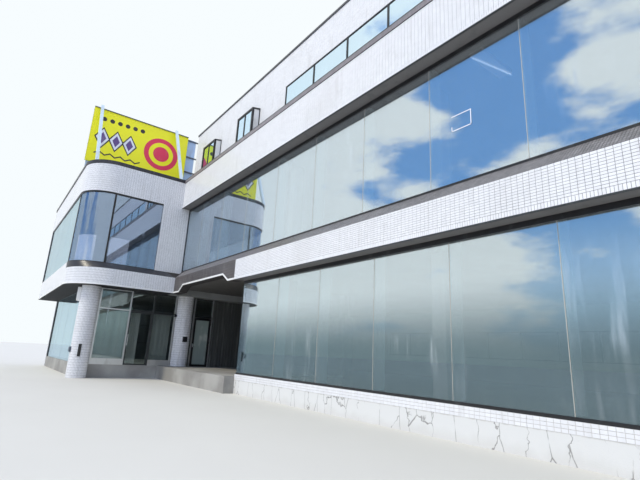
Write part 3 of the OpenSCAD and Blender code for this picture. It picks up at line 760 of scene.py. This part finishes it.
ARCH_Z = BAND_Z + 0.255
ARCH = [(X_WING, BAND_Z), (X_WING + 1.01, BAND_Z), (X_WING + 1.42, ARCH_Z),
        (X_WING + 5.32, ARCH_Z), (X_WING + 5.76, BAND_Z), (LOWER[0].x, BAND_Z)]


def arch_height(x):
    """The height of the entrance beam's lower edge."""
    for (xa, za), (xb, zb) in zip(ARCH, ARCH[1:]):
        if xa <= x <= xb:
            return za + (zb - za) * (x - xa) / (xb - xa)
    return BAND_Z


TRIM_H = 0.065
LEAST_TILE = 0.02
spandrel_rows = courses(BAND_Z, BAND_TOP, STANDING)
spandrel_rects = []
for u0, u1, v0, v1 in laid_out(X_WING + BAND_OUT, LOWER[0].x, spandrel_rows):
    foot = max(arch_height(u0), arch_height(u1)) + TRIM_H
    if v1 - max(v0, foot) > LEAST_TILE:
        spandrel_rects.append((u0, u1, max(v0, foot), v1))
tiles("spandrel_tiles", [(flat((0, Y_BAND, 0), (1, 0, 0)), spandrel_rects)], brown_tiles)


# Soffits, trims and seals
def slab(name, outline, z0, z1, material):
    """A flat piece with an outline of (x, y) points, counter-clockwise from above."""
    count = len(outline)
    points = [(x, y, z) for z in (z0, z1) for x, y in outline]
    faces = [list(range(count))[::-1], list(range(count, 2 * count))]
    for i in range(count):
        j = (i + 1) % count
        faces.append([i, j, count + j, count + i])
    return piece(name, points, faces, material)


WALK_Y = Y_WING + 0.96
FRONT_LINE = X_WING - 0.6
SOFFIT_INSET = 0.004
SOFFIT_GAP = 0.001
SOFFIT_FOOT = 0.010
ARC_STEPS = 24
edge_r = BAND_R - SOFFIT_INSET
quarter = [math.pi / 2 * i / ARC_STEPS for i in range(ARC_STEPS + 1)]
curve = [(X_ARC + edge_r * math.sin(t), Y_WING + BAND_R - edge_r * math.cos(t)) for t in quarter]
walk_outline = [(X0, Y_WING + SOFFIT_INSET), *curve, (X_ARC + edge_r, Y_BAND),
                (FRONT_LINE, Y_BAND), (FRONT_LINE, WALK_Y), (X0, WALK_Y)]
slab("walk_soffit", walk_outline, BAND_Z - SOFFIT_FOOT, BAND_Z - SOFFIT_GAP, black_soffit)

TRIM_END = X1 - 0.01
# Sheets under the bands' undersides, coloured as painted shade
band_sheets = [((x, Y_BAND + 0.012, z - 0.008), (TRIM_END, Y_GLASS, z - SOFFIT_GAP))
               for x, z in ((X_WING + 0.002, UPPER_Z), (X_SHOP, BAND_Z))]
boxes("band_soffits", band_sheets, painted_shade_soffit, bevel=0)
drip_strips = [((x, Y_BAND - 0.008, z - 0.018), (TRIM_END, Y_BAND + 0.03, z + 0.004))
               for x, z in ((X_WING + 0.01, UPPER_Z), (X_SHOP, BAND_Z))]
drip_strips.append(((X_WING + 0.02, Y_BAND - 0.030, COPING_TOP - 0.014),
                    (X1 - 0.002, Y_BAND, COPING_TOP + 0.004)))
boxes("drip_strips", drip_strips, dull_metal, bevel=0)

GLASS_Y = Y_GLASS + 0.02
FIN_D = 0.33
PLINTH_Z = PLINTH[1].z
SHOP_PANE_W = 2.03
UPPER_PANE_W = 2.08
FOOT_RAIL = 0.055
HEAD_RAIL = 0.11
SEAL_HALF_W = 0.0055
FIN_HALF_W = 0.0125
FIN_FRONT_HALF_W = 0.022
LAST_FIN_X = X_GLASS_END - 0.2
seals, fin_edges, fin_fronts = [], [], []
for first, step, z0, z1 in (
        (X_SHOP + 2.22, SHOP_PANE_W, PLINTH_Z + FOOT_RAIL, BAND_Z - HEAD_RAIL),
        (X_WING + 1.71, UPPER_PANE_W, SILL_TOP + FOOT_RAIL, UPPER_Z - HEAD_RAIL)):
    x = first
    while x < LAST_FIN_X:
        seals.append(((x - SEAL_HALF_W, GLASS_Y - 0.002, z0),
                      (x + SEAL_HALF_W, GLASS_Y + 0.019, z1)))
        fin_fronts.append(((x - FIN_FRONT_HALF_W, GLASS_Y + 0.0205, z0),
                           (x + FIN_FRONT_HALF_W, GLASS_Y + 0.024, z1)))
        fin_edges.append(((x - FIN_HALF_W, GLASS_Y + 0.02 + FIN_D, z0),
                          (x + FIN_HALF_W, GLASS_Y + 0.026 + FIN_D, z1 + 0.1)))
        x += step
boxes("pane_seals", seals, seal_rubber, bevel=0)
# Pale strips at the fins' back edges and fronts: the glass's own cyan with a painted highlight
boxes("fin_edges", fin_edges, glass_edge_highlight, bevel=0)
boxes("fin_fronts", fin_fronts, glass_edge_highlight, bevel=0)


# Shopfront behind the columns
LEAF_T = 0.045
HINGE_GAP = 0.006
KNUCKLE_H = 0.1
PANE_HALF_T = 0.006
PANE_TUCK = 0.005


def door(node, body, stile, frame_look, pane_look):
    """A leaf in place of its solid; gives its frame and the low corner as y and z."""
    low, high = low_high(node)
    face = FRONT_LINE
    back = face - LEAF_T
    y0, z0 = low.y, low.z
    y1, z1 = high.y - HINGE_GAP, high.z
    pane_y0, pane_y1, pane_z0, pane_z1 = y0 + stile, y1 - stile, z0 + stile, z1 - stile
    frame_parts = [((back, y0, z0), (face, pane_y0, z1)), ((back, pane_y1, z0), (face, y1, z1)),
                   ((back, pane_y0, pane_z1), (face, pane_y1, z1)),
                   ((back, pane_y0, z0), (face, pane_y1, pane_z0))]
    for z in (z0 + 0.2, (z0 + z1) / 2 - 0.05, z1 - 0.3):
        top = z + KNUCKLE_H
        frame_parts.append(((face - 0.001, y1 - 0.042, z), (face + 0.004, y1 - 0.002, top)))
        frame_parts.append(((face - 0.001, y1 - 0.010, z), (face + 0.018, y1 + 0.004, top)))
    made = boxes(node + "_frame", frame_parts, frame_look, body, 0.002)
    middle = (face + back) / 2
    boxes(node + "_pane",
          [((middle - PANE_HALF_T, pane_y0 - PANE_TUCK, pane_z0 - PANE_TUCK),
            (middle + PANE_HALF_T, pane_y1 + PANE_TUCK, pane_z1 + PANE_TUCK))],
          pane_look, body, 0)
    return made, y0, z0


leaf, y0, z0 = door("shop_door", "shop_leaf", 0.045, dull_metal, grey_glass)
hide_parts("shop_door")
PULL_X = FRONT_LINE + 0.06
boxes("shop_door_pull", [((FRONT_LINE, y0 + 0.012, z0 + 0.80), (PULL_X, y0 + 0.036, z0 + 0.824)),
                         ((FRONT_LINE, y0 + 0.012, z0 + 1.226), (PULL_X, y0 + 0.036, z0 + 1.25)),
                         ((PULL_X, y0 + 0.010, z0 + 0.80), (PULL_X + 0.02, y0 + 0.036, z0 + 1.25))],
      silver_metal, "shop_leaf", 0.004)
leaf, y0, z0 = door("side_door", "side_leaf", 0.095, black_metal, frosted)
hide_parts("side_door")
lever = [((FRONT_LINE, y0 + 0.032, z0 + 0.95), (FRONT_LINE + 0.045, y0 + 0.06, z0 + 0.975)),
         ((FRONT_LINE + 0.04, y0 + 0.03, z0 + 0.95), (FRONT_LINE + 0.06, y0 + 0.16, z0 + 0.972)),
         ((FRONT_LINE, y0 + 0.025, z0 + 0.86), (FRONT_LINE + 0.006, y0 + 0.067, z0 + 1.02))]
boxes("side_door_lever", lever, silver_metal, "side_leaf", 0.003)

SLAT_W = 0.089
SLAT_PITCH = 0.078
SLAT_HALF_T = 0.0008
SLAT_LEAN = (14, 26)
SLAT_LIFT = (0.0, 0.03)


def blinds(name, start, along, count, z0, z1):
    """Upright blind slats, each turned a little on its own axis."""
    points, faces = [], []
    for i in range(count):
        at_x = start[0] + along[0] * i * SLAT_PITCH
        at_y = start[1] + along[1] * i * SLAT_PITCH
        lean = math.atan2(along[1], along[0]) + math.radians(random.uniform(*SLAT_LEAN))
        half_x, half_y = math.cos(lean) * SLAT_W / 2, math.sin(lean) * SLAT_W / 2
        thin_x, thin_y = -math.sin(lean) * SLAT_HALF_T, math.cos(lean) * SLAT_HALF_T
        foot = z0 + random.uniform(*SLAT_LIFT)
        first = len(points)
        for z in (foot, z1):
            points += [(at_x - half_x - thin_x, at_y - half_y - thin_y, z),
                       (at_x + half_x - thin_x, at_y + half_y - thin_y, z),
                       (at_x + half_x + thin_x, at_y + half_y + thin_y, z),
                       (at_x - half_x + thin_x, at_y - half_y + thin_y, z)]
        faces += [[first + k for k in face] for face in BOX_FACES]
    return piece(name, points, faces, blind_cloth)


BLIND_X = FRONT_LINE - 0.20
BLIND_FOOT = FLOOR_Z + 0.06
BLIND_TOP = 2.72
blinds("shop_blinds_left", (BLIND_X, Y_ARC + 0.30), (0, 1), 22, BLIND_FOOT, BLIND_TOP)
blinds("shop_blinds_right", (BLIND_X, Y_ARC + 2.52), (0, 1), 11, BLIND_FOOT, BLIND_TOP)
blinds("front_blinds", (X0 + 0.32, Y_WING + 1.18), (1, 0), 112, BLIND_FOOT, BAND_Z - 0.35)
BOARD_FOOT = WING_SILL_TOP + 0.03
BOARD_TOP = WING_SILL_TOP + 0.37 * (UPPER_Z - WING_SILL_TOP)
BOARD_T = 0.004
BOARD_INSET = 0.10
board_x = X_WING - BOARD_INSET
boxes("side_pane_board", [((board_x, Y_ARC + 0.08, BOARD_FOOT),
                           (board_x + BOARD_T, Y_ARC + 0.85, BOARD_TOP))],
      sign_white, bevel=0)


def bent_board(name, radius, start, end, z0, z1):
    """A thin upright board bent round the wing's corner, between two turns from the front."""
    steps = 10
    points, faces = [], []
    for i in range(steps + 1):
        turn = math.radians(start + (end - start) * i / steps)
        for reach in (radius - BOARD_T, radius):
            x, y = X_ARC + reach * math.sin(turn), Y_ARC - reach * math.cos(turn)
            points += [(x, y, z0), (x, y, z1)]
    for i in range(steps):
        a, b = 4 * i, 4 * i + 4
        faces += [(a, a + 1, b + 1, b), (a + 2, b + 2, b + 3, a + 3),
                  (a + 1, a + 3, b + 3, b + 1), (a, b, b + 2, a + 2)]
    last = 4 * steps
    faces += [(0, 2, 3, 1), (last, last + 1, last + 3, last + 2)]
    return piece(name, points, faces, sign_white)


bent_board("corner_pane_board", CORNER_R - BOARD_INSET, start=22, end=66, z0=BOARD_FOOT,
           z1=BOARD_TOP)
boxes("blind_rails", [((BLIND_X - 0.025, Y_ARC + 0.24, BLIND_TOP),
                       (BLIND_X + 0.025, DOOR_BAY[1], BLIND_TOP + 0.035))],
      silver_metal)


# Fittings
def on_column(name, column_y, degrees, blocks, material):
    """Blocks on a column's face, turned about its axis.

    Their corners are out from the face, across and up.
    """
    corners = [[(COLUMN_R + out, across, up) for out, across, up in block] for block in blocks]
    made = boxes(name, corners, material, bevel=0.006)
    turn_z = Matrix.Rotation(math.radians(degrees), 4, "Z")
    made.data.transform(Matrix.Translation((COLUMN_X, column_y, 0)) @ turn_z)


CORNER_COLUMN = COLUMNS[0][0]
INNER_COLUMN = COLUMNS[1][0]
LAMP_TURN = -113
METER_TURN = -85
SLOT_TURN = -15
BELL_TURN = 4
on_column("column_lamp", CORNER_COLUMN, LAMP_TURN, [((-0.01, -0.11, 3.00), (0.12, 0.11, 3.56))],
          white_paint)
on_column("column_lamp_slots", CORNER_COLUMN, LAMP_TURN,
          [((0.112, -0.075, 3.06), (0.124, -0.030, 3.50)),
           ((0.112, 0.030, 3.06), (0.124, 0.075, 3.50))], black_metal)
on_column("column_conduit", CORNER_COLUMN, METER_TURN,
          [((-0.01, -0.012, 0.0), (0.018, 0.012, 0.98))], white_paint)
on_column("column_meter", CORNER_COLUMN, METER_TURN, [((-0.01, -0.07, 0.98), (0.07, 0.07, 1.18))],
          grey_steel)
on_column("column_slot", CORNER_COLUMN, SLOT_TURN,
          [((-0.02, -0.055, 0.82), (0.035, 0.055, 1.30)),
           ((0.035, -0.045, 0.84), (0.04, 0.045, 1.05))], black_metal)
on_column("column_bell", INNER_COLUMN, BELL_TURN, [((-0.02, -0.10, 1.60), (0.07, 0.10, 1.84))],
          black_metal)
on_column("column_bell_lamp", INNER_COLUMN, BELL_TURN,
          [((-0.01, -0.035, 1.84), (0.06, 0.035, 1.92))], white_paint)
boxes("post_lamp", [((FRONT_LINE, Y_ARC + 3.40, 2.80), (FRONT_LINE + 0.10, Y_ARC + 3.44, 2.83)),
                    ((FRONT_LINE + 0.06, DOOR_BAY[1], 2.70),
                     (FRONT_LINE + 0.16, Y_ARC + 3.47, 2.80))], black_metal)


def rod(name, start, end, radius, material):
    """A round rod between two points."""
    sides = 12
    a, b = Vector(start), Vector(end)
    axis = (b - a).normalized()
    side_way = axis.orthogonal().normalized()
    other = axis.cross(side_way)
    points = []
    for spot in (a, b):
        for i in range(sides):
            t = 2 * math.pi * i / sides
            points.append(spot + radius * (math.cos(t) * side_way + math.sin(t) * other))
    faces = [[i, (i + 1) % sides, sides + (i + 1) % sides, sides + i] for i in range(sides)]
    faces += [list(range(sides))[::-1], list(range(sides, 2 * sides))]
    return piece(name, points, faces, material)


TUBE_A = (9.96, -3.10, 7.58)
TUBE_B = (10.20, -1.95, 7.58)
rod("ceiling_tube", TUBE_A, TUBE_B, 0.016, tube_light)
boxes("tube_holder", [((TUBE_A[0] - 0.03, TUBE_A[1], 7.60), (TUBE_B[0] + 0.03, TUBE_B[1], 7.689))],
      white_paint)

TAPE_Y = GLASS_Y - 0.001
TAPE_W = 0.018
TAPE_LEFT, TAPE_RIGHT = 9.63, 10.09
TAPE_LOW, TAPE_HIGH = 5.84, 6.165
strips = [(TAPE_LEFT, TAPE_RIGHT, TAPE_HIGH, TAPE_HIGH + TAPE_W),
          (TAPE_RIGHT - TAPE_W, TAPE_RIGHT, TAPE_LOW, TAPE_HIGH),
          (TAPE_LEFT, TAPE_RIGHT, TAPE_LOW, TAPE_LOW + TAPE_W),
          (TAPE_LEFT, TAPE_LEFT + TAPE_W, TAPE_LOW, 5.95)]
boxes("tape_marks", [((x_from, TAPE_Y - 0.001, low), (x_to, TAPE_Y, high))
                     for x_from, x_to, low, high in strips], sign_white, bevel=0)


# The sign's generic design, in flat shapes on the board
SIGN_X = BOARD[1].x
SIGN_Y = BOARD[0].y
SIGN_Z = BOARD[0].z
SHAPE_LIFT = 0.003


def shapes(name, outlines, level, material):
    """Flat shapes on the board, each a list of (across, up) points from its lower left corner."""
    points, faces = [], []
    lift = SHAPE_LIFT * level
    for outline in outlines:
        first = len(points)
        count = len(outline)
        for depth in (0.0, lift):
            points += [(SIGN_X + depth, SIGN_Y + across, SIGN_Z + up) for across, up in outline]
        faces.append([first + count + i for i in range(count)])
        for i in range(count):
            j = (i + 1) % count
            faces.append([first + i, first + j, first + count + j, first + count + i])
    return piece(name, points, faces, material)


def disc(centre, radius, sides=40):
    """The outline of a disc."""
    turns = [2 * math.pi * i / sides for i in range(sides)]
    return [(centre[0] + radius * math.cos(t), centre[1] + radius * math.sin(t)) for t in turns]


def diamonds(across, up):
    """The outlines of the diamonds in a row, of half a width and half a height."""
    return [[(x - across, z), (x, z - up), (x + across, z), (x, z + up)] for x, z in DIAMONDS]


def zigzag(x0, x1, z, rise, count, thick):
    """A band that goes up and down between two ends."""
    step = (x1 - x0) / count
    low = [(x0 + i * step, z + (rise if i % 2 else 0.0)) for i in range(count + 1)]
    return low + [(x, up + thick) for x, up in reversed(low)]


SUN = (3.35, 1.35)
DIAMONDS = [(0.55 + 0.62 * i, 1.30) for i in range(3)]
DOTS = [(0.50 + 0.36 * i, 2.28) for i in range(6)]
dark_shapes = [disc(dot, 0.11, 24) for dot in DOTS] + diamonds(0.36, 0.56)
dark_shapes.append(zigzag(0.30, 2.40, 0.42, rise=0.13, count=9, thick=0.07))
shapes("sign_dark_shapes", dark_shapes, 1, sign_dark)
shapes("sign_red_shapes", [disc(SUN, 0.86)], 1, sign_red)
shapes("sign_yellow_shapes", [disc(SUN, 0.62)], 2, sign_yellow)
shapes("sign_red_centre", [disc(SUN, 0.40)], 3, sign_red)
shapes("sign_white_shapes", diamonds(0.29, 0.47), 2, sign_white)
shapes("sign_purple_shapes", diamonds(0.17, 0.30), 3, sign_purple)
RIM = 0.03
rim_back, rim_front, rim_top = BOARD[0].x - 0.004, SIGN_X + 0.012, BOARD[1].z
boxes("sign_rim", [((rim_back, SIGN_Y, SIGN_Z), (rim_front, SIGN_Y + RIM, rim_top)),
                   ((rim_back, BOARD[1].y - RIM, SIGN_Z), (rim_front, BOARD[1].y, rim_top))],
      sign_yellow)


# Camera, light and floor
CAMERA_PLACE = (14.49, -10.2525, 1.32)
CAMERA_RIGHT = Vector((0.60907, 0.79166, 0.04807))
CAMERA_UP = Vector((0.17432, -0.19275, 0.96564))
CAMERA_AHEAD = Vector((-0.77372, 0.57976, 0.25540))
LENS_MM = 24.51
SENSOR_MM = 36
SUN_ENERGY = 1.9
SUN_COLOR = (1.0, 0.93, 0.76)
SUN_WIDTH = math.radians(8)
SUN_FALL = Vector((0.03, 0.64, -0.77))
FILL_COLOR = (0.74, 0.86, 1.14)
FILL_STRENGTH = 1.08
PALE_SKY = (0.93, 0.98, 1.0)
PLAIN_BACKDROP = 0.85
FLOOR_HALF = 300.0

camera_data = bpy.data.cameras.new("camera")
camera_data.sensor_width = SENSOR_MM
camera_data.lens = LENS_MM
camera = bpy.data.objects.new("camera", camera_data)
turn = Matrix((CAMERA_RIGHT, CAMERA_UP, -CAMERA_AHEAD)).transposed().to_4x4()
turn.translation = CAMERA_PLACE
camera.matrix_world = turn
scene = bpy.context.scene
scene.collection.objects.link(camera)
scene.camera = camera
scene.view_settings.view_transform = "Standard"

sun_data = bpy.data.lights.new("sun", "SUN")
sun_data.energy = SUN_ENERGY
sun_data.angle = SUN_WIDTH
sun_data.color = SUN_COLOR
sun = bpy.data.objects.new("sun", sun_data)
sun.rotation_mode = "QUATERNION"
sun.rotation_quaternion = SUN_FALL.to_track_quat("-Z", "Y")
scene.collection.objects.link(sun)

world = bpy.data.worlds.new("world")
scene.world = world
world.use_nodes = True
world.node_tree.nodes.clear()
sky = Nodes(world.node_tree)
paths = sky.add("LightPath")
camera_ray = paths.outputs["Is Camera Ray"]
shown = camera_ray
for ray in ("Is Glossy Ray", "Is Transmission Ray"):
    shown = sky.math("MAXIMUM", shown, paths.outputs[ray])
direction = sky.add("TexCoord").outputs["Generated"]
parts = sky.add("SeparateXYZ", Vector=direction)
blue = sky.add("ValToRGB", s0=parts.outputs[2])
stops = blue.color_ramp.elements
stops[0].position, stops[0].color = 0.0, (0.86, 0.90, 0.92, 1)
stops[1].position, stops[1].color = 1.0, (0.13, 0.32, 0.72, 1)
for position, color in ((0.10, (0.58, 0.78, 0.94, 1)), (0.30, (0.18, 0.41, 0.80, 1))):
    stops.new(position).color = color
flattened = sky.add("Mapping", Vector=direction, Location=(2.3, 0.9, 0.5), Scale=(1.0, 1.0, 2.4))
puffs = sky.add("TexNoise", Vector=flattened.outputs[0], Scale=2.7, Detail=7.0, Roughness=0.55)
behind = sky.add("MapRange", Value=parts.outputs[1], From_Min=-0.68, From_Max=-0.46, To_Max=0.20)
cover = sky.math("ADD", behind.outputs[0], puffs.outputs["Fac"])
clouded = sky.mix(sky.ramp(cover, 0.45, 0.56), blue.outputs[0], PALE_SKY)
backdrop = sky.mix(sky.math("MULTIPLY", camera_ray, PLAIN_BACKDROP), clouded, PALE_SKY)
seen = sky.add("Background", Color=backdrop)
lighting = sky.add("Background", Color=(*FILL_COLOR, 1), Strength=FILL_STRENGTH)
both = sky.add("MixShader", s0=shown, s1=lighting.outputs[0], s2=seen.outputs[0])
sky.add("OutputWorld", s0=both.outputs[0])

floor_look = Look("floor", (0.75, 0.75, 0.75), 0.9)
floor_patches = floor_look.noise(0.4, 3.0)
floor_look.color(floor_look.mix(floor_patches, (0.62, 0.60, 0.55), (0.66, 0.64, 0.59)))
floor_mesh = bpy.data.meshes.new("floor")
floor_mesh.from_pydata([(-FLOOR_HALF, -FLOOR_HALF, 0), (FLOOR_HALF, -FLOOR_HALF, 0),
                        (FLOOR_HALF, FLOOR_HALF, 0), (-FLOOR_HALF, FLOOR_HALF, 0)],
                       [], [(0, 1, 2, 3)])
floor_mesh.materials.append(floor_look.material)
floor = bpy.data.objects.new("floor", floor_mesh)
scene.collection.objects.link(floor)
